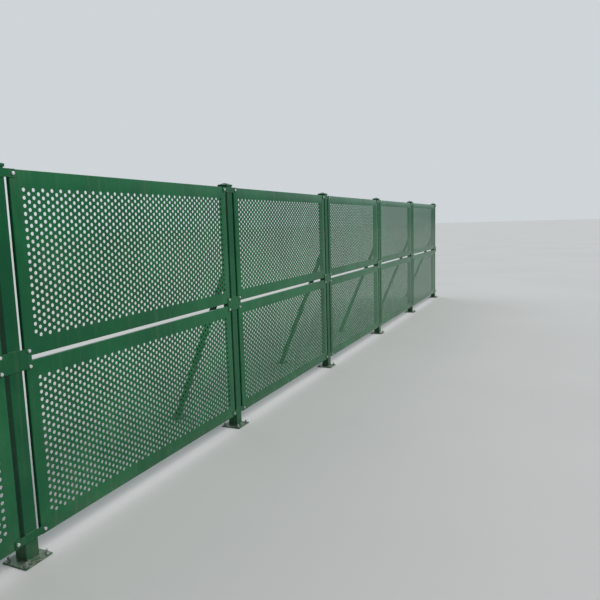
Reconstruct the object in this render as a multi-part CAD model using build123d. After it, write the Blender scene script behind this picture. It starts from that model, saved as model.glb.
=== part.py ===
"""Perforated metal hoarding: six bays of punched steel panels between seven braced posts.

The row's frame: +X runs along the fence, -Y is the street side, +Z is up.
The origin is on the underside of the middle post's base plate, under the post's axis.
All sizes are in millimetres.
"""
from build123d import *
import math
import os

# Layout of the run
BAYS = 6
PANEL_LENGTH = 2020
PANEL_HEIGHT = 935
SIDE_GAP = 25
TIER_GAP = 25
GROUND_CLEARANCE = 105

# Posts and their base plates
POST_SIZE = 80
POST_WALL = 2.5
POST_CORNER = 3
POST_ABOVE_PANELS = 22
BASE_SIZE = 170
BASE_THICKNESS = 8
ANCHOR_FROM_EDGE = 20
ANCHOR_HOLE = 14
STATED_BASE_PLATES = (1, 4, 7)

# Pressed caps on the posts
CAP_WALL = 2
CAP_CLEARANCE = 1.5
CAP_SKIRT = 14
CAP_RISE = 16

# Folded sheets
SHEET = 2
FOLD_DEPTH = 20
FOLD_RADIUS = 4

# The punched field as made: staggered round holes, every second place of a grid of columns and rows
HOLE_DIAMETER = 20
HOLE_STEP_X = 30
HOLE_STEP_Z = 20
HOLE_COLUMNS = 63
HOLE_ROWS = 38

# The coarse openings that stand for it, on the same field and with the same open area
OPENING_COLUMNS = 9
OPENING_ROWS = 4
HOLE_FLATS = 6

# Ear plates, which join the panel corners to the posts
EAR_THICKNESS = 4
EAR_HEIGHT = 42
EAR_BOLT_HOLE = 11
BOLT_FROM_EAR_END = 15
BOLT_FROM_MIDDLE_EAR_EDGE = 12
BOLT_INSET_X = 20
BOLT_INSET_TOP = 20
BOLT_INSET_MIDDLE = 28
BOLT_INSET_BOTTOM = 28

# Rear braces and their feet
BRACE_SIZE = 40
BRACE_WALL = 2
BRACE_TOP = 1300
BRACE_REACH = 560
FOOT_SIZE = 120
FOOT_THICKNESS = 6
FOOT_BOLT_FROM_EDGE = 18

# Places that follow from the sizes
BAY = PANEL_LENGTH + 2 * SIDE_GAP + POST_SIZE
FRONT = -POST_SIZE / 2
BACK = POST_SIZE / 2
LOWER_BASE = GROUND_CLEARANCE
LOWER_TOP = LOWER_BASE + PANEL_HEIGHT
UPPER_BASE = LOWER_TOP + TIER_GAP
UPPER_TOP = UPPER_BASE + PANEL_HEIGHT
POST_TOP = UPPER_TOP + POST_ABOVE_PANELS
BOLT_X = POST_SIZE / 2 + SIDE_GAP + BOLT_INSET_X
EAR_LENGTH = 2 * (BOLT_X + BOLT_FROM_EAR_END)
MIDDLE_BOLT_Z = TIER_GAP / 2 + BOLT_INSET_MIDDLE
MIDDLE_EAR_HEIGHT = 2 * (MIDDLE_BOLT_Z + BOLT_FROM_MIDDLE_EAR_EDGE)
POST_PLACES = [(n - BAYS // 2) * BAY for n in range(BAYS + 1)]
BAY_CENTRES = [(a + b) / 2 for a, b in zip(POST_PLACES, POST_PLACES[1:])]
FIELD_LENGTH = (HOLE_COLUMNS - 1) * HOLE_STEP_X + HOLE_DIAMETER
FIELD_HEIGHT = (HOLE_ROWS - 1) * HOLE_STEP_Z + HOLE_DIAMETER


def hole_cutter(diameter, depth, is_round):
    """A cutter along Z, centred on the origin.

    The holes of the stated fixings are round. The many others are cut with a few flats.
    """
    if is_round:
        return Cylinder(diameter / 2, depth)
    return extrude(RegularPolygon(diameter / 2, HOLE_FLATS), depth / 2, both=True)


def face_hole(x, z, diameter, is_round=False):
    """A cutter along Y through a thin sheet or plate whose front face is at y = 0."""
    return Pos(x, 0, z) * Rot(90, 0, 0) * hole_cutter(diameter, 4 * EAR_THICKNESS, is_round)


def square_tube(size, wall, length, corner=0):
    """A square hollow section along +Z from z = 0, with its outer corners cut by flats where stated."""
    outer = Rectangle(size, size)
    if corner:
        outer = chamfer(outer.vertices(), corner)
    return extrude(outer - Rectangle(size - 2 * wall, size - 2 * wall), length)


def post():
    """The upright: a square tube with rolled corners, which stands on its base plate."""
    tube = square_tube(POST_SIZE, POST_WALL, POST_TOP - BASE_THICKNESS, POST_CORNER)
    return Pos(0, 0, BASE_THICKNESS) * tube


def base_plate(is_stated):
    """The flat plate under a post, with four anchor holes."""
    plate = extrude(Rectangle(BASE_SIZE, BASE_SIZE), BASE_THICKNESS)
    spacing = BASE_SIZE - 2 * ANCHOR_FROM_EDGE
    for place in GridLocations(spacing, spacing, 2, 2):
        plate -= place * hole_cutter(ANCHOR_HOLE, 4 * BASE_THICKNESS, is_stated)
    return plate


def post_cap():
    """A pressed cap: a low pyramid with a short skirt round the post's top."""
    outside = POST_SIZE + 2 * (CAP_CLEARANCE + CAP_WALL)
    tip_low = (outside - CAP_WALL) / 2
    tip_high = (outside + CAP_WALL) / 2
    skirt = Pos(0, 0, -CAP_SKIRT) * square_tube(outside, CAP_WALL, CAP_SKIRT)
    pyramid = Wedge(outside, CAP_RISE, outside, tip_low, tip_low, tip_high, tip_high)
    roof = Pos(0, 0, CAP_RISE / 2) * Rot(90, 0, 0) * pyramid
    return Pos(0, 0, POST_TOP) * (skirt + roof)


def ear_plate(height, bolt_rows, round_side=0):
    """One plate across a post, with a bolt hole for each panel corner that it holds."""
    plate = Pos(0, EAR_THICKNESS / 2, 0) * Box(EAR_LENGTH, EAR_THICKNESS, height)
    for row in bolt_rows:
        for side in (-1, 1):
            plate -= face_hole(side * BOLT_X, row, EAR_BOLT_HOLE, side == round_side)
    return plate


def ear_plates(free_side):
    """The three plates across a post. At each end of the run one side is free, for the next bay."""
    outer = ear_plate(EAR_HEIGHT, [0])
    middle = ear_plate(MIDDLE_EAR_HEIGHT, [-MIDDLE_BOLT_Z, MIDDLE_BOLT_Z], free_side)
    y = FRONT - EAR_THICKNESS
    return [
        Pos(0, y, LOWER_BASE + BOLT_INSET_BOTTOM) * outer,
        Pos(0, y, LOWER_TOP + TIER_GAP / 2) * middle,
        Pos(0, y, UPPER_TOP - BOLT_INSET_TOP) * outer,
    ]


def staggered(columns, rows, step_x, step_z):
    """Places on every second point of a grid, about its centre, with both top corners taken."""
    for column in range(columns):
        for row in range(rows):
            if (column + rows - 1 - row) % 2 == 0:
                yield (column - (columns - 1) / 2) * step_x, (row - (rows - 1) / 2) * step_z


def openings():
    """Centres of the coarse openings, and their size across corners."""
    punched = list(staggered(HOLE_COLUMNS, HOLE_ROWS, HOLE_STEP_X, HOLE_STEP_Z))
    open_area = len(punched) * math.pi * (HOLE_DIAMETER / 2) ** 2
    count = len(list(staggered(OPENING_COLUMNS, OPENING_ROWS, 1, 1)))
    turn = 2 * math.pi / HOLE_FLATS
    across = 2 * math.sqrt(2 * open_area / count / (HOLE_FLATS * math.sin(turn)))
    step_x = (FIELD_LENGTH - across) / (OPENING_COLUMNS - 1)
    step_z = (FIELD_HEIGHT - across) / (OPENING_ROWS - 1)
    return staggered(OPENING_COLUMNS, OPENING_ROWS, step_x, step_z), across


def panel(top_inset, bottom_inset):
    """A punched sheet with its four edges folded back, open behind, centred on x = z = 0."""
    pan = Pos(0, FOLD_DEPTH / 2, 0) * Box(PANEL_LENGTH, FOLD_DEPTH, PANEL_HEIGHT)
    front_edges = pan.faces().sort_by(Axis.Y)[0].edges()
    pan = fillet(front_edges, FOLD_RADIUS)
    inner_length = PANEL_LENGTH - 2 * SHEET
    inner_height = PANEL_HEIGHT - 2 * SHEET
    pan -= Pos(0, SHEET + FOLD_DEPTH / 2, 0) * Box(inner_length, FOLD_DEPTH, inner_height)
    places, across = openings()
    for x, z in places:
        pan -= face_hole(x, z, across)
    for x in (BOLT_INSET_X - PANEL_LENGTH / 2, PANEL_LENGTH / 2 - BOLT_INSET_X):
        for z in (PANEL_HEIGHT / 2 - top_inset, bottom_inset - PANEL_HEIGHT / 2):
            pan -= face_hole(x, z, EAR_BOLT_HOLE)
    return Pos(0, FRONT, 0) * pan


def rear_brace():
    """The raking tube behind a post, cut to the post's back and to its foot plate."""
    rise = BRACE_TOP
    length = math.hypot(BRACE_REACH, rise)
    lean = math.degrees(math.atan2(BRACE_REACH, rise))
    spare = 2 * BRACE_SIZE
    tube = Pos(0, 0, -spare) * square_tube(BRACE_SIZE, BRACE_WALL, length + 2 * spare)
    tube = Pos(0, BACK + BRACE_REACH, 0) * Rot(lean, 0, 0) * tube
    span = BRACE_REACH + 2 * spare
    room = Pos(0, BACK + span / 2, FOOT_THICKNESS + rise) * Box(BASE_SIZE, span, 2 * rise)
    return tube & room


def brace_foot():
    """The small plate under a brace, with one anchor hole each side of the tube."""
    plate = extrude(Rectangle(FOOT_SIZE, FOOT_SIZE), FOOT_THICKNESS)
    for side in (-1, 1):
        x = side * (FOOT_SIZE / 2 - FOOT_BOLT_FROM_EDGE)
        plate -= Pos(x, 0, 0) * hole_cutter(ANCHOR_HOLE, 4 * FOOT_THICKNESS, False)
    return Pos(0, BACK + BRACE_REACH, 0) * plate


def save(name, *solids):
    """Write one piece, or a group of like pieces that don't touch, as one file."""
    shape = solids[0] if len(solids) == 1 else Compound(children=list(solids))
    export_step(shape, f"parts/{name}.step")


def build():
    os.makedirs("parts", exist_ok=True)
    ends = {POST_PLACES[0]: -1, POST_PLACES[-1]: 1}
    for number, x in enumerate(POST_PLACES, start=1):
        here = Pos(x, 0, 0)
        save(f"post_{number}", here * post())
        save(f"base_plate_{number}", here * base_plate(number in STATED_BASE_PLATES))
        save(f"ear_plates_{number}", *[here * plate for plate in ear_plates(ends.get(x, 0))])
        save(f"rear_brace_{number}", here * rear_brace())
    save("post_caps", *[Pos(x, 0, 0) * post_cap() for x in POST_PLACES])
    save("brace_feet", *[Pos(x, 0, 0) * brace_foot() for x in POST_PLACES])
    lower = panel(BOLT_INSET_MIDDLE, BOLT_INSET_BOTTOM)
    upper = panel(BOLT_INSET_TOP, BOLT_INSET_MIDDLE)
    for number, x in enumerate(BAY_CENTRES, start=1):
        save(f"lower_panel_{number}", Pos(x, 0, LOWER_BASE + PANEL_HEIGHT / 2) * lower)
        save(f"upper_panel_{number}", Pos(x, 0, UPPER_BASE + PANEL_HEIGHT / 2) * upper)


build()
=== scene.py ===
"""Looks of the perforated metal hoarding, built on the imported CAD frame.

Everything is in metres, in the row's own frame: +X runs along the fence, -Y is the street side, +Z is up.
"""

import math
import random

import bmesh
import bpy
from mathutils import Matrix, Vector
from mathutils.geometry import delaunay_2d_cdt


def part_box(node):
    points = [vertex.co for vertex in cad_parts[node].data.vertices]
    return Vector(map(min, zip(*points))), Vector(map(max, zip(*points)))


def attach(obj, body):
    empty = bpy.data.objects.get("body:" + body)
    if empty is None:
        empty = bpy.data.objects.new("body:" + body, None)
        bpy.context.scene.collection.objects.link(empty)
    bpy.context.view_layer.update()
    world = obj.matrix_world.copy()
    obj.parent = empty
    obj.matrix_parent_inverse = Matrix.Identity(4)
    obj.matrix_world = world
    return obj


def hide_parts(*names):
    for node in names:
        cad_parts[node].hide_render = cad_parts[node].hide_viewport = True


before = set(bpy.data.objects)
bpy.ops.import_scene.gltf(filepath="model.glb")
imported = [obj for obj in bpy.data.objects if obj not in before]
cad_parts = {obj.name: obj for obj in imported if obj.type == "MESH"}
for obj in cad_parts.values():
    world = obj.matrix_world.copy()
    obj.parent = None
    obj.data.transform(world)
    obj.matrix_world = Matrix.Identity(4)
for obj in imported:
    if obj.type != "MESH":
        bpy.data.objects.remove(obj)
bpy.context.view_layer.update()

# The run: its pieces all ride on one body, and what is uneven is drawn from one seed
ROOT = "root"
BAYS = 6
POSTS = BAYS + 1
SEED = 7

# Directions of the row's frame
ALONG = Vector((1, 0, 0))
REAR = Vector((0, 1, 0))
UP = Vector((0, 0, 1))

# Sheet metal of the panels
SHEET = 0.002
FOLD_DEPTH = 0.020
FOLD_RADIUS = 0.004
FOLD_STEPS = 4
OUTLINE_STEP = 0.100

# Waves of a sheet's bow: half waves along it, half waves up it, and the most that they add.
# Each panel draws a share of that.
BOW = 0.0020
BOW_WAVES = ((1, 1, BOW), (2, 1, BOW / 3), (3, 1, BOW / 4), (1, 2, BOW / 4), (3, 2, BOW / 6))
BOW_SHARE = (0.35, 1)

# A panel's flat layout, which becomes its UV map: room for a fold outside each edge, and between the pieces
LAYOUT_EDGE = 0.026
LAYOUT_GAP = 0.002

# Punched field: a lattice of half pitches, with rows counted from the top.
# Holes stand where column and row are both even or both odd.
HALF_PITCH_X = 0.030
HALF_PITCH_Z = 0.020
HOLE_COLUMNS = 63
HOLE_ROWS = 38
HOLE_RADIUS = 0.010
HOLE_SIDES = 12

# Bolts through the ear plates. A washer has a radius and a thickness, and a tip is a share of the radius.
BOLT_FROM_POST = 0.085
BOLT_INSET_X = 0.020
BOLT_INSET_TOP = 0.020
BOLT_INSET_MIDDLE = 0.028
BOLT_INSET_BOTTOM = 0.028
MIDDLE_PLATE_HEIGHT = 0.105
BOLT_HOLE_RADIUS = 0.0055
BOLT_HOLE_SIDES = 12
BOLT_RADIUS = 0.005
BOLT_HEAD_FLATS = 0.016
BOLT_HEAD_HEIGHT = 0.0064
BOLT_WASHER = (0.0090, 0.0016)
BOLT_NUT_HEIGHT = 0.0084
BOLT_END = 0.005
BOLT_TIP = 0.7

# Anchors in the base plates and brace feet. Each draws a share of the usual free end.
ANCHOR_SPACING = 0.130
FOOT_BOLT_SPACING = 0.084
ANCHOR_RADIUS = 0.006
ANCHOR_BOTTOM = 0.0005
ANCHOR_NUT_FLATS = 0.018
ANCHOR_NUT_HEIGHT = 0.0105
ANCHOR_WASHER = (0.0120, 0.0025)
ANCHOR_END = 0.014
ANCHOR_END_SHARE = (0.7, 1.2)
ANCHOR_TIP = 0.75

# What bolts and anchors share. The chamfer's circle is a share of the flats, and a washer's edge is a share
# of its thickness.
LATHE_SIDES = 18
CHAMFER_CIRCLE = 0.475
CHAMFER_ANGLE = 30
WASHER_EDGE = 0.15
THREAD_PITCH = 0.0016
THREAD_DEPTH = 0.0005

# Rear braces
BRACE_SIZE = 0.040
BRACE_TOP = 1.300
BRACE_REACH = 0.560

# Weld beads. Wave, unevenness and the size at the ends are shares of a bead's leg.
BEAD_LEG = 0.0045
THIN_LEG = 0.0032
HEEL_LEG = 0.0038
BEAD_STEP = 0.0035
BEAD_SIDES = 3
BEAD_ROOT = 0.0006
BEAD_WAVE = 0.10
BEAD_UNEVEN = 0.06
BEAD_AT_END = 0.6
BEAD_FROM_CORNER = 0.004
BEAD_FROM_PLATE_END = 0.006

# Edges and points of the pieces: angles in degrees, and how near two points are that count as one
SHARP_ANGLE = 35
BEVEL_ANGLE = 35
BEVEL_SEGMENTS = 2
FLAT_ANGLE = 1
SAME_POINT = 0.00002
POINT_DIGITS = 6
MERGE_DISTANCE = 1e-7

# Colours of dirt, bare primer and zinc
DUST = (0.235, 0.210, 0.170, 1)
PALE_DUST = (0.360, 0.380, 0.360, 1)
CEMENT = (0.340, 0.330, 0.300, 1)
EARTH = (0.130, 0.072, 0.042, 1)
PRIMER = (0.20, 0.21, 0.20, 1)
GRIME = (0.085, 0.105, 0.080, 1)
DARK_ZINC = (0.60, 0.62, 0.61, 1)
LIGHT_ZINC = (0.86, 0.88, 0.87, 1)
WHITE_BLOOM = (0.78, 0.79, 0.77, 1)

# Shares of the slow shifts and of the patches in the tone of the green
SLOW_SHARE = 0.6
PATCHES_SHARE = 0.4

# How far each kind of wear covers what is under it
VEIL_COVER = (0.014, 0.030)
STREAK_COVER = 0.14
FILM_COVER = 0.18
LEDGE_COVER = 0.26
CEMENT_COVER = 0.50
SPLASH_COVER = 0.8
CHIP_COVER = 0.7
BLOOM_COVER = 0.5

# Heights where wear begins and where it is full. The film of dust begins at the paint's own splash height,
# and the drops of earth begin at a share of it.
VEIL_HEIGHTS = (1.35, 0.30)
CEMENT_HEIGHTS = (0.030, 0.008)
FILM_FULL = 0.02
DROPS_FULL = 0.03
DROPS_SHARE = 0.8

# How far the shine varies by itself, and how much each kind of wear dulls it
SATIN_SPREAD = (-0.035, 0.045)
ZINC_ROUGHNESS = (0.30, 0.46)
DUST_DULLS = 0.75
EARTH_DULLS = 0.5
DULL_ROUGHNESS = 0.45
GRIME_ROUGHNESS = 0.35

# How metallic clean zinc is, and how much of that bloom and dirt take away
ZINC_METALLIC = 0.75
BLOOM_HIDES = 0.6
GRIME_HIDES = 0.7

# Studio floor, sky and backdrop
FLOOR_HALF = 240
FLOOR_COLOUR = (0.64, 0.64, 0.625, 1)
FLOOR_ROUGHNESS = 0.9
FLOOR_SHINE = 0.2
FLOOR_DARKER = 0.96
SKY_COLOUR = (0.86, 0.93, 1.00, 1)
BACKDROP_COLOUR = (0.62, 0.66, 0.69, 1)

# Studio light: a soft sky that is dim just over the floor and towards -X, and broad lamps,
# each with the way it shines, its strength, its spread and its colour
SKY_STEPS = ((0.00, 0.12), (0.02, 0.12), (0.08, 0.95), (0.45, 0.75), (1.00, 0.45))
SKY_SIDES = ((-0.6, 0.25), (0.95, 1.30))
LIGHTS = (
    ("soft_key", (-0.30, 0.62, -0.74), 1.7, 40, (1.0, 0.98, 0.95)),
    ("soft_back", (-0.25, -0.70, -0.62), 0.6, 50, (0.92, 0.96, 1.0)),
)

# The photograph's camera, fitted to its post and panel edges
CAMERA_PLACE = (-6.298, -2.491, 1.697)
CAMERA_YAW = 65.937
CAMERA_PITCH = -7.535
CAMERA_ROLL = -1.668
CAMERA_FOCAL_PX = 581.3
CAMERA_FAR = 400
PHOTO_PX = 600
SENSOR_MM = 36.0


def post_x(number):
    """Where a post stands along the run."""
    low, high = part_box(f"post_{number}")
    return ((low + high) / 2).x


def link(obj):
    """Puts a new object into the scene."""
    bpy.context.scene.collection.objects.link(obj)
    return obj


class Skin:
    """Points and faces of one closed mesh, with points that lie together kept as one.

    laid holds the place of each face's corners on a flat layout, for a mesh that brings its own UV map.
    """

    def __init__(self):
        self.points = []
        self.faces = []
        self.laid = []
        self.known = {}

    def point(self, *place):
        """The number of the point at a place, which is new or known already."""
        key = tuple(round(value, POINT_DIGITS) for value in place)
        if key not in self.known:
            self.known[key] = len(self.points)
            self.points.append(place)
        return self.known[key]

    def face(self, *corners, laid=()):
        self.faces.append([self.point(*corner) for corner in corners])
        self.laid += laid

    def tube(self, rows):
        """Faces between rows of as many points each, closed at both ends."""
        count = len(rows[0])
        for row, following in zip(rows, rows[1:]):
            for k in range(count):
                after = (k + 1) % count
                self.face(row[k], row[after], following[after], following[k])
        self.face(*rows[0])
        self.face(*rows[-1])

    def piece(self, name, material, slot):
        """Makes the mesh into a piece of the object, which rides on the fence's only body."""
        mesh = bpy.data.meshes.new(name)
        mesh.from_pydata(self.points, [], self.faces)
        if self.laid:
            layout = mesh.uv_layers.new(name="OFBake")
            layout.data.foreach_set("uv", [value for place in self.laid for value in place])
        shell = bmesh.new()
        shell.from_mesh(mesh)
        bmesh.ops.recalc_face_normals(shell, faces=shell.faces)
        shell.to_mesh(mesh)
        shell.free()
        mesh.shade_smooth()
        mesh.set_sharp_from_angle(angle=math.radians(SHARP_ANGLE))
        mesh.materials.append(material)
        obj = link(bpy.data.objects.new(name, mesh))
        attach(obj, ROOT)
        return obj


# Materials

class Nodes:
    """A material's node tree, with short calls for the nodes that the finishes share.

    at and normal hold the parts X, Y and Z of a point's place and of the way that its surface faces.
    """

    def __init__(self, name):
        self.material = bpy.data.materials.new(name)
        self.material.use_nodes = True
        self.tree = self.material.node_tree
        self.tree.nodes.clear()
        self.shader = self.tree.nodes.new("ShaderNodeBsdfPrincipled")
        output = self.tree.nodes.new("ShaderNodeOutputMaterial")
        self.join(self.shader.outputs["BSDF"], output.inputs["Surface"])
        self.place = self.tree.nodes.new("ShaderNodeTexCoord").outputs["Object"]
        geometry = self.tree.nodes.new("ShaderNodeNewGeometry")
        self.normal = self.split(geometry.outputs["Normal"])
        self.at = self.split(self.place)

    def join(self, source, target):
        self.tree.links.new(source, target)

    def split(self, vector):
        node = self.tree.nodes.new("ShaderNodeSeparateXYZ")
        self.join(vector, node.inputs[0])
        return node.outputs

    def put(self, value, socket):
        """Gives a socket its value, which is another node's output or a plain number or colour."""
        if hasattr(value, "default_value"):
            self.join(value, socket)
        else:
            socket.default_value = value

    def noise(self, scale, detail, roughness, stretch=(1, 1, 1), shift=(0, 0, 0)):
        mapping = self.tree.nodes.new("ShaderNodeMapping")
        mapping.inputs["Location"].default_value = shift
        mapping.inputs["Scale"].default_value = stretch
        self.join(self.place, mapping.inputs["Vector"])
        node = self.tree.nodes.new("ShaderNodeTexNoise")
        node.inputs["Scale"].default_value = scale
        node.inputs["Detail"].default_value = detail
        node.inputs["Roughness"].default_value = roughness
        self.join(mapping.outputs["Vector"], node.inputs["Vector"])
        return node.outputs["Fac"]

    def ramp(self, value, low, high, to_low=0.0, to_high=1.0):
        """A smooth step from to_low, where the value is low, to to_high, where it is high."""
        node = self.tree.nodes.new("ShaderNodeMapRange")
        node.interpolation_type = "SMOOTHSTEP"
        self.put(value, node.inputs["Value"])
        for name, number in zip(("From Min", "From Max", "To Min", "To Max"), (low, high, to_low, to_high)):
            node.inputs[name].default_value = number
        return node.outputs["Result"]

    def math(self, operation, first, second, clamp=False):
        node = self.tree.nodes.new("ShaderNodeMath")
        node.operation = operation
        node.use_clamp = clamp
        self.put(first, node.inputs[0])
        self.put(second, node.inputs[1])
        return node.outputs[0]

    def times(self, first, second):
        return self.math("MULTIPLY", first, second)

    def plus(self, first, second, clamp=False):
        return self.math("ADD", first, second, clamp)

    def mix(self, factor, first, second):
        node = self.tree.nodes.new("ShaderNodeMix")
        node.data_type = "RGBA"
        node.clamp_factor = True
        self.put(factor, node.inputs["Factor"])
        self.put(first, node.inputs["A"])
        self.put(second, node.inputs["B"])
        return node.outputs["Result"]

    def bump(self, height, strength, distance, under=None):
        node = self.tree.nodes.new("ShaderNodeBump")
        node.inputs["Strength"].default_value = strength
        node.inputs["Distance"].default_value = distance
        self.join(height, node.inputs["Height"])
        if under is not None:
            self.join(under, node.inputs["Normal"])
        return node.outputs["Normal"]


def dusted(n, green, patches, splash_height):
    """Dust on the green: a pale veil low down, faint streaks of rain, and a film where it settles."""
    height = n.at["Z"]
    veil = n.times(n.ramp(height, *VEIL_HEIGHTS), n.ramp(patches, 0.2, 0.8, *VEIL_COVER))
    green = n.mix(veil, green, PALE_DUST)

    rain = n.noise(scale=26, detail=4, roughness=0.62, stretch=(1, 1, 0.045))
    streaks = n.times(n.ramp(rain, 0.50, 0.76), STREAK_COVER)
    green = n.mix(streaks, green, DUST)

    speckle = n.noise(scale=9, detail=8, roughness=0.68, shift=(1.0, 4.0, 0.0))
    low_down = n.ramp(height, splash_height, FILM_FULL)
    film = n.times(low_down, n.ramp(speckle, 0.30, 0.72))
    ledge = n.times(n.ramp(n.normal["Z"], 0.55, 0.95), n.ramp(speckle, 0.25, 0.75))
    dust = n.plus(n.times(film, FILM_COVER), n.times(ledge, LEDGE_COVER), clamp=True)
    return n.mix(dust, green, DUST), dust


def splashed(n, green, splash_height):
    """Cement dried on the lowest edges of the green, and drops of earth splashed up a little higher."""
    height = n.at["Z"]
    smear = n.noise(scale=38, detail=6, roughness=0.66, shift=(4.0, 2.0, 6.0))
    crust = n.times(n.ramp(smear, 0.50, 0.60), n.ramp(height, *CEMENT_HEIGHTS))
    green = n.mix(n.times(crust, CEMENT_COVER), green, CEMENT)

    drops = n.noise(scale=95, detail=3, roughness=0.6, shift=(7.0, 1.0, 2.0))
    spots = n.times(n.ramp(drops, 0.655, 0.70), n.ramp(height, splash_height * DROPS_SHARE, DROPS_FULL))
    return n.mix(n.times(spots, SPLASH_COVER), green, EARTH), crust, spots


def chipped(n, green):
    """Small chips in the green down to its primer, in a few places."""
    chips = n.noise(scale=140, detail=5, roughness=0.7, shift=(2.0, 8.0, 3.0))
    where = n.ramp(n.noise(scale=3.2, detail=2, roughness=0.5, shift=(9.0, 0.0, 1.0)), 0.60, 0.72)
    bare = n.times(n.ramp(chips, 0.735, 0.75), where)
    return n.mix(n.times(bare, CHIP_COVER), green, PRIMER)


def green_paint(name, deep, light, roughness, shine, splash_height):
    """Satin powder coat: slow shifts of the green, orange peel, dust, splashes and small chips."""
    n = Nodes(name)
    slow = n.noise(scale=0.9, detail=2, roughness=0.55, shift=(3.1, 0.4, 1.7))
    patches = n.noise(scale=5, detail=4, roughness=0.6, shift=(0.3, 2.2, 5.0))
    tone = n.plus(n.times(slow, SLOW_SHARE), n.times(patches, PATCHES_SHARE))
    green = n.mix(n.ramp(tone, 0.38, 0.62), deep, light)
    green, dust = dusted(n, green, patches, splash_height)
    green, crust, spots = splashed(n, green, splash_height)
    n.join(chipped(n, green), n.shader.inputs["Base Color"])

    dull = n.plus(n.times(dust, DUST_DULLS), n.times(n.plus(spots, crust), EARTH_DULLS))
    satin = n.noise(scale=14, detail=5, roughness=0.6)
    uneven = n.ramp(satin, 0.3, 0.7, *(roughness + spread for spread in SATIN_SPREAD))
    n.join(n.plus(uneven, n.times(dull, DULL_ROUGHNESS), clamp=True), n.shader.inputs["Roughness"])

    peel = n.bump(n.noise(scale=420, detail=2, roughness=0.5), strength=0.10, distance=0.0006)
    raised = n.plus(n.plus(dull, spots), crust)
    n.join(n.bump(raised, strength=0.25, distance=0.0006, under=peel), n.shader.inputs["Normal"])
    n.shader.inputs["Specular IOR Level"].default_value = shine
    return n.material


def zinc(name, dirt):
    """Zinc-plated steel with a fine cloudy spangle, a little white bloom and dirt in blotches."""
    n = Nodes(name)
    cloud = n.noise(scale=220, detail=4, roughness=0.6)
    metal = n.mix(n.ramp(cloud, 0.3, 0.7), DARK_ZINC, LIGHT_ZINC)
    bloom = n.times(n.ramp(n.noise(scale=480, detail=5, roughness=0.7), 0.56, 0.70), BLOOM_COVER)
    soiled = n.times(n.ramp(n.noise(scale=60, detail=5, roughness=0.65), 0.25, 0.60), dirt)
    metal = n.mix(soiled, n.mix(bloom, metal, WHITE_BLOOM), GRIME)
    n.join(metal, n.shader.inputs["Base Color"])
    dull = n.times(soiled, GRIME_ROUGHNESS)
    n.join(n.plus(n.ramp(cloud, 0.3, 0.7, *ZINC_ROUGHNESS), dull), n.shader.inputs["Roughness"])
    grain = n.noise(scale=900, detail=2, roughness=0.5)
    n.join(n.bump(grain, strength=0.12, distance=0.0003), n.shader.inputs["Normal"])
    hidden = n.plus(n.times(bloom, BLOOM_HIDES), n.times(soiled, GRIME_HIDES), clamp=True)
    n.join(n.math("SUBTRACT", ZINC_METALLIC, hidden, clamp=True), n.shader.inputs["Metallic"])
    return n.material


def floor_paint(name):
    """The studio floor's pale surface, with a slight unevenness."""
    n = Nodes(name)
    tint = n.ramp(n.noise(scale=0.35, detail=3, roughness=0.5), 0.3, 0.7)
    darker = tuple(FLOOR_DARKER * value for value in FLOOR_COLOUR[:3]) + (1,)
    n.join(n.mix(tint, darker, FLOOR_COLOUR), n.shader.inputs["Base Color"])
    n.shader.inputs["Roughness"].default_value = FLOOR_ROUGHNESS
    n.shader.inputs["Specular IOR Level"].default_value = FLOOR_SHINE
    return n.material


PANEL_PAINT = green_paint(
    "green_panel_coat",
    deep=(0.0062, 0.098, 0.036, 1),
    light=(0.0088, 0.138, 0.048, 1),
    roughness=0.22,
    shine=0.18,
    splash_height=0.26,
)
POST_PAINT = green_paint(
    "green_post_coat",
    deep=(0.0046, 0.079, 0.031, 1),
    light=(0.0070, 0.105, 0.040, 1),
    roughness=0.24,
    shine=0.14,
    splash_height=0.24,
)
FITTING_PAINT = green_paint(
    "green_fitting_coat",
    deep=(0.0058, 0.088, 0.032, 1),
    light=(0.0088, 0.118, 0.042, 1),
    roughness=0.28,
    shine=0.17,
    splash_height=0.16,
)
# The braces' green is darker than the panels' green as painted shade, standing in for the shade behind the
# sheets
SHADED_BRACE_PAINT = green_paint(
    "green_brace_coat_painted_shade",
    deep=(0.0046, 0.070, 0.027, 1),
    light=(0.0068, 0.095, 0.035, 1),
    roughness=0.34,
    shine=0.17,
    splash_height=0.22,
)
ZINC = zinc("zinc_bolts_plate", dirt=0.10)
OLD_ZINC = zinc("zinc_anchors_soiled", dirt=0.85)


# Panels

def hole_ring(x, z, radius, sides):
    """Corners of a round hole, with the area of its true circle."""
    turn = 2 * math.pi / sides
    reach = radius * math.sqrt(turn / math.sin(turn))
    return [(x + reach * math.cos(k * turn), z + reach * math.sin(k * turn)) for k in range(sides)]


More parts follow.
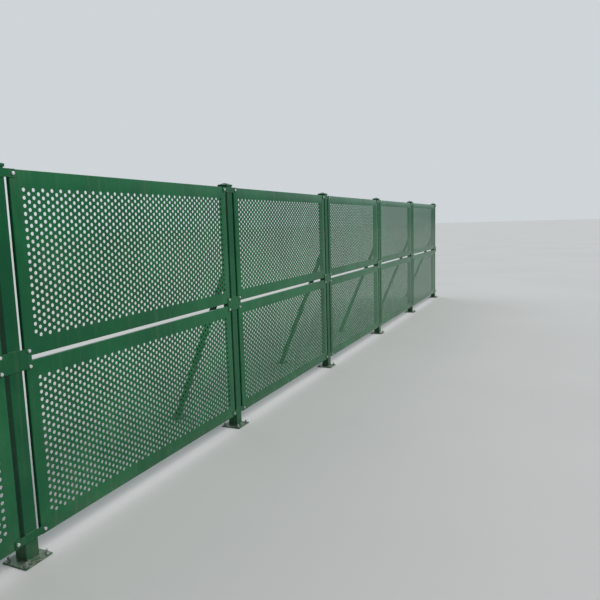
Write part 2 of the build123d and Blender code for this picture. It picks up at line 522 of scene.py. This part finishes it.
class PanelSkin(Skin):
    """The skin of a panel, centred on x = z = 0, with its front at y = 0.

    Its layout has the front below and the back above, each with its part of the folds outside its edges.
    """

    def __init__(self, length, height):
        super().__init__()
        self.length = length
        self.height = height

    def lay(self, x, z, is_back):
        """Where a place of the panel goes on the layout. The back goes there as seen from behind."""
        across = -x if is_back else x
        up = z / (self.height + 2 * LAYOUT_EDGE) + 0.5
        return across / (self.length + 2 * LAYOUT_EDGE) + 0.5, (up + is_back) / 2

    def both_sides(self, corners):
        """One flat face of the sheet, on its street side and on its back."""
        for depth in (0, SHEET):
            laid = [self.lay(x, z, depth > 0) for x, z in corners]
            self.face(*[(x, depth, z) for x, z in corners], laid=laid)

    def hole_wall(self, ring):
        """The cut edge of the sheet round a hole. It is laid out inside the hole."""
        middle_x = sum(x for x, z in ring) / len(ring)
        middle_z = sum(z for x, z in ring) / len(ring)
        share = SHEET / math.dist((middle_x, middle_z), ring[0])
        inner = [(x + (middle_x - x) * share, z + (middle_z - z) * share) for x, z in ring]
        for k, (ax, az) in enumerate(ring):
            after = (k + 1) % len(ring)
            bx, bz = ring[after]
            laid = [self.lay(*place, False) for place in (ring[k], ring[after], inner[after], inner[k])]
            self.face((ax, 0, az), (bx, 0, bz), (bx, SHEET, bz), (ax, SHEET, az), laid=laid)


def lattice(column, row):
    """Place of a lattice point of the punched field, from the panel's centre."""
    x = (column - (HOLE_COLUMNS - 1) / 2) * HALF_PITCH_X
    z = ((HOLE_ROWS - 1) / 2 - row) * HALF_PITCH_Z
    return x, z


def hole_cell(skin, column, row):
    """The diamond of sheet round one hole, which meets its neighbours' diamonds at the lattice points."""
    x, z = lattice(column, row)
    ring = hole_ring(x, z, HOLE_RADIUS, HOLE_SIDES)
    neighbours = ((1, 0), (0, -1), (-1, 0), (0, 1))
    corners = [lattice(column + right, row + down) for right, down in neighbours]
    count = len(corners)
    nearest = [round(count * (k + 0.5) / HOLE_SIDES) % count for k in range(HOLE_SIDES)]
    for k in range(HOLE_SIDES):
        after = (k + 1) % HOLE_SIDES
        skin.both_sides([corners[nearest[k]], ring[after], ring[k]])
        if nearest[after] != nearest[k]:
            skin.both_sides([corners[nearest[k]], corners[nearest[after]], ring[after]])
    skin.hole_wall(ring)


def field_edge():
    """Lattice points round the punched field, in order, and the notches between its outer diamonds."""
    last_column, last_row = HOLE_COLUMNS - 1, HOLE_ROWS - 1
    top = [(column, -1) for column in range(0, last_column + 1, 2)]
    right = [(last_column + 1, row) for row in range(0, last_row, 2)]
    bottom = [(column, last_row + 1) for column in range(last_column - 1, 0, -2)]
    left = [(-1, row) for row in range(last_row - 1, -1, -2)]
    loop = top + right + [(last_column, last_row)] + bottom + [(0, last_row)] + left
    notches = []
    for side, inward in ((top, (0, 1)), (right, (-1, 0)), (bottom, (0, -1)), (left, (1, 0))):
        for a, b in zip(side, side[1:]):
            middle = ((a[0] + b[0]) // 2 + inward[0], (a[1] + b[1]) // 2 + inward[1])
            notches.append([lattice(*a), lattice(*b), lattice(*middle)])
    return [lattice(*point) for point in loop], notches


def stations(half):
    """Even steps along one side of the flat sheet, from end to end."""
    steps = round(2 * half / OUTLINE_STEP)
    return [half * (2 * k / steps - 1) for k in range(steps + 1)]


def inside(point, loop):
    """Whether a point is inside a closed loop."""
    x, z = point
    crossings = 0
    for (ax, az), (bx, bz) in zip(loop, loop[1:] + loop[:1]):
        if (az > z) != (bz > z) and x < ax + (z - az) * (bx - ax) / (bz - az):
            crossings += 1
    return crossings % 2 == 1


def margin(skin, half_x, half_z, field, bolt_rings):
    """The plain sheet between the punched field and the folds, with the bolt holes left open."""
    along_x, along_z = stations(half_x), stations(half_z)
    outline = [(x, -half_z) for x in along_x[:-1]] + [(half_x, z) for z in along_z[:-1]]
    outline += [(x, half_z) for x in along_x[:0:-1]] + [(-half_x, z) for z in along_z[:0:-1]]
    points, edges = [], []
    for loop in [outline, field] + bolt_rings:
        start, count = len(points), len(loop)
        points += loop
        edges += [(start + k, start + (k + 1) % count) for k in range(count)]
    as_triangles = 0
    found = delaunay_2d_cdt([Vector(p) for p in points], edges, [], as_triangles, MERGE_DISTANCE)
    triangles, origins = found[2], found[3]
    for triangle in triangles:
        corners = [points[origins[k][0]] for k in triangle]
        middle = (sum(x for x, z in corners) / 3, sum(z for x, z in corners) / 3)
        if not any(inside(middle, loop) for loop in [field] + bolt_rings):
            skin.both_sides(corners)


def fold_profile():
    """Section of a folded edge as inset from the panel's edge and depth behind its front."""
    outer, inner = [], []
    for k in range(FOLD_STEPS + 1):
        turn = math.pi / 2 * k / FOLD_STEPS
        for side, radius in ((outer, FOLD_RADIUS), (inner, FOLD_RADIUS - SHEET)):
            side.append((FOLD_RADIUS - radius * math.sin(turn), FOLD_RADIUS - radius * math.cos(turn)))
    return outer + [(0, FOLD_DEPTH), (SHEET, FOLD_DEPTH)] + inner[::-1]


def fold(skin, along, place, cap_is_back):
    """One folded edge. place(along, inset) gives x and z, on the panel and past its edge on the layout.

    Its outer side is laid out round the front, and its rim and inner side round the back, each as far from
    the flat sheet as it is along the profile.
    """
    profile = fold_profile()
    run = [0]
    for a, b in zip(profile, profile[1:]):
        run.append(run[-1] + math.dist(a, b))
    rows = []
    for step in along:
        rows.append([(x, depth, z) for inset, depth in profile for x, z in [place(step, inset)]])
    for j, (row, following) in enumerate(zip(rows, rows[1:])):
        for k in range(len(profile) - 1):
            is_back = k > FOLD_STEPS
            flat_end = run[-1] if is_back else 0
            near, far = (FOLD_RADIUS - abs(run[i] - flat_end) for i in (k, k + 1))
            places = ((along[j], near), (along[j], far), (along[j + 1], far), (along[j + 1], near))
            laid = [skin.lay(*place(*at), is_back) for at in places]
            skin.face(row[k], row[k + 1], following[k + 1], following[k], laid=laid)
    for end, row, way in ((along[0], rows[0], -1), (along[-1], rows[-1], 1)):
        places = [(end + way * (LAYOUT_GAP + inset), FOLD_RADIUS - depth) for inset, depth in profile]
        skin.face(*row, laid=[skin.lay(*place(*at), cap_is_back) for at in places])


def panel_skin(length, height, top_inset, bottom_inset):
    """A punched and folded panel."""
    skin = PanelSkin(length, height)
    for column in range(HOLE_COLUMNS):
        for row in range(HOLE_ROWS):
            if (column + row) % 2 == 0:
                hole_cell(skin, column, row)
    field, notches = field_edge()
    for notch in notches:
        skin.both_sides(notch)
    bolt_rings = []
    for x in (BOLT_INSET_X - length / 2, length / 2 - BOLT_INSET_X):
        for z in (height / 2 - top_inset, bottom_inset - height / 2):
            bolt_rings.append(hole_ring(x, z, BOLT_HOLE_RADIUS, BOLT_HOLE_SIDES))
            skin.hole_wall(bolt_rings[-1])
    half_x, half_z = length / 2 - FOLD_RADIUS, height / 2 - FOLD_RADIUS
    margin(skin, half_x, half_z, field, bolt_rings)
    for side in (-1, 1):

        def upright(step, inset):
            return side * (length / 2 - inset), step

        def level(step, inset):
            return step, side * (height / 2 - inset)

        fold(skin, stations(half_z), upright, cap_is_back=False)
        fold(skin, stations(half_x), level, cap_is_back=True)
    return skin


def bow_shape(rng):
    """A shallow bow of the sheet, different on each panel and nil at its folds."""
    waves = [(m, n, size * rng.uniform(*BOW_SHARE) * rng.choice((-1, 1))) for m, n, size in BOW_WAVES]

    def bow(u, v):
        u, v = min(max(u, 0), 1), min(max(v, 0), 1)
        return sum(size * math.sin(m * math.pi * u) * math.sin(n * math.pi * v) for m, n, size in waves)

    return bow


def add_panels():
    rng = random.Random(SEED)
    insets = {
        "lower_panel": (BOLT_INSET_MIDDLE, BOLT_INSET_BOTTOM),
        "upper_panel": (BOLT_INSET_TOP, BOLT_INSET_MIDDLE),
    }
    for kind, (top_inset, bottom_inset) in insets.items():
        low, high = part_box(f"{kind}_1")
        length, height = high.x - low.x, high.z - low.z
        flat_x, flat_z = length - 2 * FOLD_RADIUS, height - 2 * FOLD_RADIUS
        pattern = panel_skin(length, height, top_inset, bottom_inset)
        for number in range(1, BAYS + 1):
            node = f"{kind}_{number}"
            low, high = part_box(node)
            middle_x, middle_z = (low.x + high.x) / 2, (low.z + high.z) / 2
            bow = bow_shape(rng)
            skin = Skin()
            skin.faces, skin.laid = pattern.faces, pattern.laid
            for x, y, z in pattern.points:
                y += low.y + bow(x / flat_x + 0.5, z / flat_z + 0.5)
                skin.points.append((middle_x + x, y, middle_z + z))
            piece = skin.piece(f"punched_{node}", PANEL_PAINT, "green_panel_paint")
            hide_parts(node)


# Bolts and anchors, turned as one skin each round their own axis

def circle_ring(radius, height):
    return [(radius, height)] * LATHE_SIDES


def hexagon_radius(flats, k):
    """Distance from a hexagon's middle to its outline at step k of the lathe."""
    return flats / 2 / math.cos(math.radians((360 * k / LATHE_SIDES) % 60 - 30))


def hexagon_ring(flats, height, chamfer=0):
    """A ring on a hexagon, whose corners drop (chamfer 1) or rise (chamfer -1) as if turned off."""
    rim = CHAMFER_CIRCLE * flats
    slope = math.tan(math.radians(CHAMFER_ANGLE))
    ring = []
    for k in range(LATHE_SIDES):
        radius = hexagon_radius(flats, k)
        ring.append((radius, height - chamfer * max(0, radius - rim) * slope))
    return ring


def chamfer_circle(flats, height):
    """The circle where a hexagon's chamfer begins."""
    return circle_ring(CHAMFER_CIRCLE * flats, height)


def thread_rings(radius, start, end):
    """Threads on a stud's end, from start to end along its axis."""
    step = math.copysign(THREAD_PITCH / 2, end - start)
    count = int((end - start) / step)
    return [circle_ring(radius - (k % 2) * THREAD_DEPTH, start + k * step) for k in range(1, count)]


def washer_rings(washer, start, direction):
    """Rings of a washer whose seat is at start."""
    radius, thickness = washer
    edge = WASHER_EDGE * thickness
    heights = (0, edge, thickness - edge, thickness)
    radii = (radius - edge, radius, radius, radius - edge)
    return [circle_ring(r, start + direction * h) for r, h in zip(radii, heights)]


def add_turned(skin, base, axis, rings, rng):
    """A closed skin through the rings, which stand along axis from base, turned to any angle.

    After a sixth of a turn a hexagon looks the same, so that is as far as it turns.
    """
    turn = rng.uniform(0, math.pi / 3)
    other = axis.cross(ALONG)
    rows = []
    for ring in rings:
        row = []
        for k, (radius, height) in enumerate(ring):
            angle = turn + 2 * math.pi * k / LATHE_SIDES
            outward = ALONG * math.cos(angle) + other * math.sin(angle)
            row.append(tuple(base + axis * height + outward * radius))
        rows.append(row)
    skin.tube(rows)


def face_bolt(skin, x, y_front, y_back, z, rng):
    """A bolt through an ear plate and a panel: head and washer on the street side, washer and nut behind."""
    grip = y_back - y_front
    head = BOLT_WASHER[1]
    top = head + BOLT_HEAD_HEIGHT
    flats = BOLT_HEAD_FLATS
    rings = [chamfer_circle(flats, top), hexagon_ring(flats, top, chamfer=1), hexagon_ring(flats, head)]
    rings += washer_rings(BOLT_WASHER, 0, direction=1)[::-1]
    rings += [circle_ring(BOLT_RADIUS, 0), circle_ring(BOLT_RADIUS, -grip)]
    rings += washer_rings(BOLT_WASHER, -grip, direction=-1)
    seat = -grip - BOLT_WASHER[1]
    end = seat - BOLT_NUT_HEIGHT
    rings += [hexagon_ring(flats, seat), hexagon_ring(flats, end, chamfer=-1)]
    rings += [chamfer_circle(flats, end), circle_ring(BOLT_RADIUS, end)]
    rings += thread_rings(BOLT_RADIUS, end, end - BOLT_END)
    rings += [circle_ring(BOLT_TIP * BOLT_RADIUS, end - BOLT_END)]
    add_turned(skin, Vector((x, y_front, z)), -REAR, rings, rng)


def ground_anchor(skin, x, y, plate_top, rng):
    """An anchor stud through a base plate, with its washer and nut on top."""
    washer_top = ANCHOR_WASHER[1]
    top = washer_top + ANCHOR_NUT_HEIGHT
    flats = ANCHOR_NUT_FLATS
    end = top + ANCHOR_END * rng.uniform(*ANCHOR_END_SHARE)
    rings = [circle_ring(ANCHOR_RADIUS, ANCHOR_BOTTOM - plate_top), circle_ring(ANCHOR_RADIUS, 0)]
    rings += washer_rings(ANCHOR_WASHER, 0, direction=1)
    rings += [hexagon_ring(flats, washer_top), hexagon_ring(flats, top, chamfer=1)]
    rings += [chamfer_circle(flats, top), circle_ring(ANCHOR_RADIUS, top)]
    rings += thread_rings(ANCHOR_RADIUS, top, end)
    rings += [circle_ring(ANCHOR_TIP * ANCHOR_RADIUS, end)]
    add_turned(skin, Vector((x, y, plate_top)), UP, rings, rng)


def panel_bolts(skin, number, rng):
    """The bolts beside a post, one at each panel corner that its ear plates hold."""
    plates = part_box(f"ear_plates_{number}")
    lower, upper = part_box("lower_panel_1"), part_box("upper_panel_1")
    heights = [lower[0].z + BOLT_INSET_BOTTOM, lower[1].z - BOLT_INSET_MIDDLE]
    heights += [upper[0].z + BOLT_INSET_MIDDLE, upper[1].z - BOLT_INSET_TOP]
    for side, bay in ((-1, number - 1), (1, number)):
        x = post_x(number) + side * BOLT_FROM_POST
        for z in heights if 1 <= bay <= BAYS else []:
            face_bolt(skin, x, plates[0].y, plates[1].y + SHEET, z, rng)


def post_anchors(skin, number, rng):
    """Four anchors in a post's base plate, and two in the foot plate of its brace."""
    x = post_x(number)
    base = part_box(f"base_plate_{number}")
    for side_x in (-1, 1):
        for side_y in (-1, 1):
            y = side_y * ANCHOR_SPACING / 2
            ground_anchor(skin, x + side_x * ANCHOR_SPACING / 2, y, base[1].z, rng)
    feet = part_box("brace_feet")
    foot_y = (feet[0].y + feet[1].y) / 2
    for side_x in (-1, 1):
        ground_anchor(skin, x + side_x * FOOT_BOLT_SPACING / 2, foot_y, feet[1].z, rng)


def add_bolts():
    rng = random.Random(SEED + 1)
    for number in range(1, POSTS + 1):
        skin = Skin()
        panel_bolts(skin, number, rng)
        skin.piece(f"panel_bolts_{number}", ZINC, "zinc_bolts")
        skin = Skin()
        post_anchors(skin, number, rng)
        skin.piece(f"anchors_{number}", OLD_ZINC, "zinc_bolts")


# Weld beads

def bead(skin, start, end, first_side, second_side, rng, leg=BEAD_LEG):
    """A rippled fillet in the corner between two faces, halfway between a round and a flat one.

    The sides point away from the corner, along each face.
    """
    start, end = Vector(start), Vector(end)
    steps = round((end - start).length / BEAD_STEP)
    rows = []
    for k in range(steps + 1):
        middle = start.lerp(end, k / steps)
        swell = leg * (1 + BEAD_WAVE * (k % 2) + rng.uniform(-BEAD_UNEVEN, BEAD_UNEVEN))
        if k in (0, steps):
            swell *= BEAD_AT_END
        row = [middle - (first_side + second_side) * BEAD_ROOT]
        for j in range(BEAD_SIDES + 1):
            turn = math.pi / 2 * j / BEAD_SIDES
            out = 0.5 + 0.5 / max(math.cos(turn) + math.sin(turn), 1)
            reach = first_side * math.cos(turn) + second_side * math.sin(turn)
            row.append(middle + reach * swell * out)
        rows.append([tuple(p) for p in row])
    skin.tube(rows)


def brace_welds(skin, number, rng):
    """Beads round a brace's two cut ends, on the post's back and on the foot plate."""
    lean = math.atan2(BRACE_REACH, BRACE_TOP)
    half = BRACE_SIZE / 2
    left, right = post_x(number) - half, post_x(number) + half
    down = Vector((0, math.sin(lean), -math.cos(lean)))
    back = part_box("post_1")[1].y
    low, high = BRACE_TOP - half / math.sin(lean), BRACE_TOP + half / math.sin(lean)
    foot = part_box("brace_feet")[1].z
    middle = back + BRACE_REACH - foot * math.tan(lean)
    near, far = middle - half / math.cos(lean), middle + half / math.cos(lean)
    for side, edge in ((-1, left), (1, right)):
        bead(skin, (edge, back, low), (edge, back, high), side * ALONG, REAR, rng)
        bead(skin, (edge, near, foot), (edge, far, foot), side * ALONG, UP, rng)
    bead(skin, (left, back, high), (right, back, high), UP, down, rng)
    bead(skin, (left, back, low), (right, back, low), -UP, down, rng, leg=THIN_LEG)
    bead(skin, (left, near, foot), (right, near, foot), -REAR, -down, rng)
    bead(skin, (left, far, foot), (right, far, foot), REAR, -down, rng, leg=HEEL_LEG)


def plate_heights(number):
    """Bottom and top of each of a post's three ear plates. The outer two are centred on their bolts."""
    bottom, top = (corner.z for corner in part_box(f"ear_plates_{number}"))
    lower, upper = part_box("lower_panel_1"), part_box("upper_panel_1")
    slit = (lower[1].z + upper[0].z) / 2
    low_plate = (bottom, 2 * (lower[0].z + BOLT_INSET_BOTTOM) - bottom)
    high_plate = (2 * (upper[1].z - BOLT_INSET_TOP) - top, top)
    return low_plate, (slit - MIDDLE_PLATE_HEIGHT / 2, slit + MIDDLE_PLATE_HEIGHT / 2), high_plate


def post_welds(skin, number, rng):
    """Beads round a post's foot, and round the ear plates where they cross its front."""
    low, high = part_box(f"post_{number}")
    x, half, floor = post_x(number), (high.x - low.x) / 2, low.z
    run = half - BEAD_FROM_CORNER
    for side in (-1, 1):
        y, edge = side * half, x + side * half
        bead(skin, (x - run, y, floor), (x + run, y, floor), side * REAR, UP, rng)
        bead(skin, (edge, -run, floor), (edge, run, floor), side * ALONG, UP, rng)
    for bottom, top in plate_heights(number):
        for z, way in ((bottom, -1), (top, 1)):
            bead(skin, (x - run, -half, z), (x + run, -half, z), way * UP, -REAR, rng, leg=THIN_LEG)
        for side in (-1, 1):
            edge = x + side * half
            start, end = bottom + BEAD_FROM_PLATE_END, top - BEAD_FROM_PLATE_END
            bead(skin, (edge, -half, start), (edge, -half, end), side * ALONG, REAR, rng)


def add_welds():
    rng = random.Random(SEED + 2)
    for number in range(1, POSTS + 1):
        skin = Skin()
        post_welds(skin, number, rng)
        skin.piece(f"post_welds_{number}", POST_PAINT, "green_post_paint")
        skin = Skin()
        brace_welds(skin, number, rng)
        # The brace welds take the braces' darker green, which is painted shade
        skin.piece(f"brace_welds_{number}", SHADED_BRACE_PAINT, "green_brace_paint")


# Carried-over CAD nodes: the paint of each kind, and the width of its rounded edges

NODE_FINISH = {
    "post_caps": (POST_PAINT, 0.0012),
    "post": (POST_PAINT, 0.0012),
    "base_plate": (FITTING_PAINT, 0.0010),
    "ear_plates": (FITTING_PAINT, 0.0008),
    # The braces' darker green is painted shade
    "rear_brace": (SHADED_BRACE_PAINT, 0.0030),
    "brace_feet": (FITTING_PAINT, 0.0010),
}


def finish_nodes():
    """Gives each CAD node that shows its paint, and rounds its edges a little."""
    for name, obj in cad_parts.items():
        kind = next((k for k in NODE_FINISH if name.startswith(k)), None)
        if kind is None:
            continue
        material, width = NODE_FINISH[kind]
        for material_slot in obj.material_slots:
            material_slot.material = material
        weld = obj.modifiers.new("weld", "WELD")
        weld.merge_threshold = SAME_POINT
        flat = obj.modifiers.new("flat_faces", "DECIMATE")
        flat.decimate_type = "DISSOLVE"
        flat.angle_limit = math.radians(FLAT_ANGLE)
        bevel = obj.modifiers.new("bevel", "BEVEL")
        bevel.width = width
        bevel.segments = BEVEL_SEGMENTS
        bevel.limit_method = "ANGLE"
        bevel.angle_limit = math.radians(BEVEL_ANGLE)
        normals = obj.modifiers.new("normals", "WEIGHTED_NORMAL")
        normals.keep_sharp = False


# Studio

def add_floor():
    corners = [(x * FLOOR_HALF, y * FLOOR_HALF, 0) for x, y in ((-1, -1), (1, -1), (1, 1), (-1, 1))]
    mesh = bpy.data.meshes.new("studio_floor")
    mesh.from_pydata(corners, [], [range(len(corners))])
    mesh.materials.append(floor_paint("studio_floor_paint"))
    link(bpy.data.objects.new("studio_floor", mesh))


def add_sky():
    """A soft sky that lights the fence, and an even backdrop that only the camera sees."""
    world = bpy.data.worlds.new("studio_sky")
    world.use_nodes = True
    tree = world.node_tree
    place = tree.nodes.new("ShaderNodeTexCoord")
    way = tree.nodes.new("ShaderNodeSeparateXYZ")
    tree.links.new(place.outputs["Generated"], way.inputs[0])
    rise = tree.nodes.new("ShaderNodeValToRGB")
    rise.color_ramp.interpolation = "B_SPLINE"
    tree.links.new(way.outputs["Z"], rise.inputs["Fac"])
    stops = rise.color_ramp.elements
    for step, (height, strength) in enumerate(SKY_STEPS):
        stop = stops[step] if step < len(stops) else stops.new(height)
        stop.position = height
        stop.color = (strength, strength, strength, 1)
    side = tree.nodes.new("ShaderNodeMapRange")
    tree.links.new(way.outputs["X"], side.inputs["Value"])
    for socket, (at, strength) in zip(("Min", "Max"), SKY_SIDES):
        side.inputs[f"From {socket}"].default_value = at
        side.inputs[f"To {socket}"].default_value = strength
    glow = tree.nodes.new("ShaderNodeMath")
    glow.operation = "MULTIPLY"
    tree.links.new(rise.outputs["Color"], glow.inputs[0])
    tree.links.new(side.outputs["Result"], glow.inputs[1])
    fill = tree.nodes.new("ShaderNodeBackground")
    fill.inputs["Color"].default_value = SKY_COLOUR
    tree.links.new(glow.outputs[0], fill.inputs["Strength"])

    backdrop = tree.nodes["Background"]
    backdrop.inputs["Color"].default_value = BACKDROP_COLOUR
    rays = tree.nodes.new("ShaderNodeLightPath")
    choose = tree.nodes.new("ShaderNodeMixShader")
    tree.links.new(rays.outputs["Is Camera Ray"], choose.inputs["Fac"])
    tree.links.new(fill.outputs["Background"], choose.inputs[1])
    tree.links.new(backdrop.outputs["Background"], choose.inputs[2])
    tree.links.new(choose.outputs["Shader"], tree.nodes["World Output"].inputs["Surface"])
    bpy.context.scene.world = world


def add_lamps():
    for name, way, energy, spread, colour in LIGHTS:
        sun = bpy.data.lights.new(name, "SUN")
        sun.energy = energy
        sun.angle = math.radians(spread)
        sun.color = colour
        lamp = link(bpy.data.objects.new(name, sun))
        lamp.rotation_euler = Vector(way).to_track_quat("-Z", "Y").to_euler()


def add_camera():
    """The photograph's camera. Its yaw is measured from +Y towards +X."""
    yaw, pitch, roll = (math.radians(angle) for angle in (CAMERA_YAW, CAMERA_PITCH, CAMERA_ROLL))
    forward = Vector((math.sin(yaw) * math.cos(pitch), math.cos(yaw) * math.cos(pitch), math.sin(pitch)))
    level_right = Vector((math.cos(yaw), -math.sin(yaw), 0))
    level_up = level_right.cross(forward)
    right = level_right * math.cos(roll) + level_up * math.sin(roll)
    up = level_up * math.cos(roll) - level_right * math.sin(roll)
    data = bpy.data.cameras.new("photo_camera")
    data.sensor_width = SENSOR_MM
    data.lens = CAMERA_FOCAL_PX / PHOTO_PX * SENSOR_MM
    data.clip_end = CAMERA_FAR
    camera = link(bpy.data.objects.new("photo_camera", data))
    turn = Matrix((right, up, -forward)).transposed().to_4x4()
    camera.matrix_world = Matrix.Translation(CAMERA_PLACE) @ turn
    bpy.context.scene.camera = camera


bpy.context.scene.view_settings.view_transform = "Standard"
add_panels()
add_bolts()
add_welds()
finish_nodes()
add_floor()
add_sky()
add_lamps()
add_camera()
